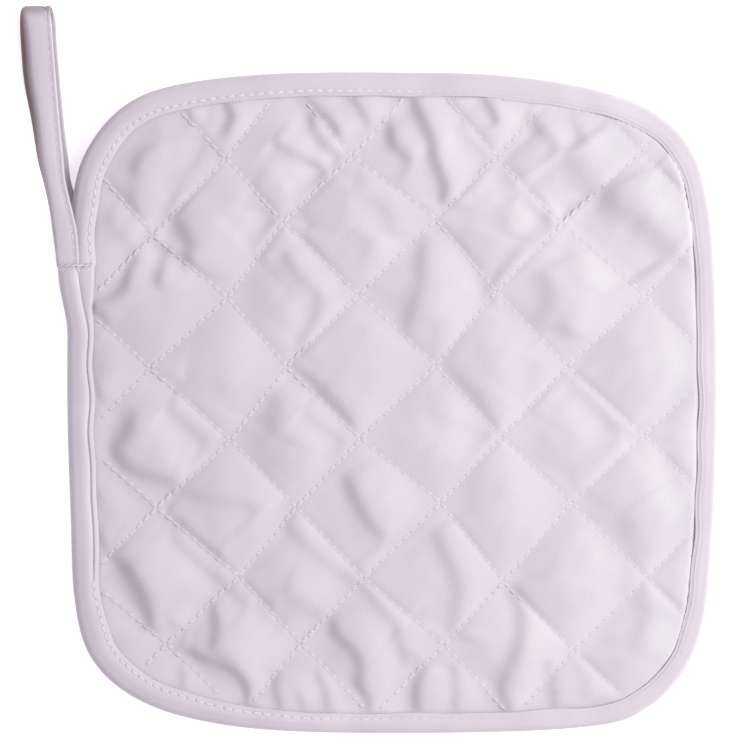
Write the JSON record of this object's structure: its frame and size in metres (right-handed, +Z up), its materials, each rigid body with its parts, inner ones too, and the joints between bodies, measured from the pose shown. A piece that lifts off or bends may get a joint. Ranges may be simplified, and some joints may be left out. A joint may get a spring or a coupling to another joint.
{
  "type": "quilted pot holder with a hanging loop",
  "caption": "Square quilted cotton pot holder with rounded corners, a bound edge and a tape loop for hanging it up.",
  "frame": {"origin": "middle of the whole footprint, loop included, on the surface that the holder lies on", "axes": "+Z up out of the face, +Y along the side that the loop points to, +X across the face to the right"},
  "size_m": [0.2132, 0.2222, 0.0114],
  "materials": {
    "quilted_cotton": "matt cotton twill, pale lilac, machine-quilted",
    "cotton_tape": "matt cotton twill tape, pale lilac, folded and edge-stitched"
  },
  "bodies": {
    "root": {"quilted_pad": "quilted_cotton", "edge_binding": "cotton_tape", "hanging_loop": "cotton_tape"}
  },
  "joints": []
}
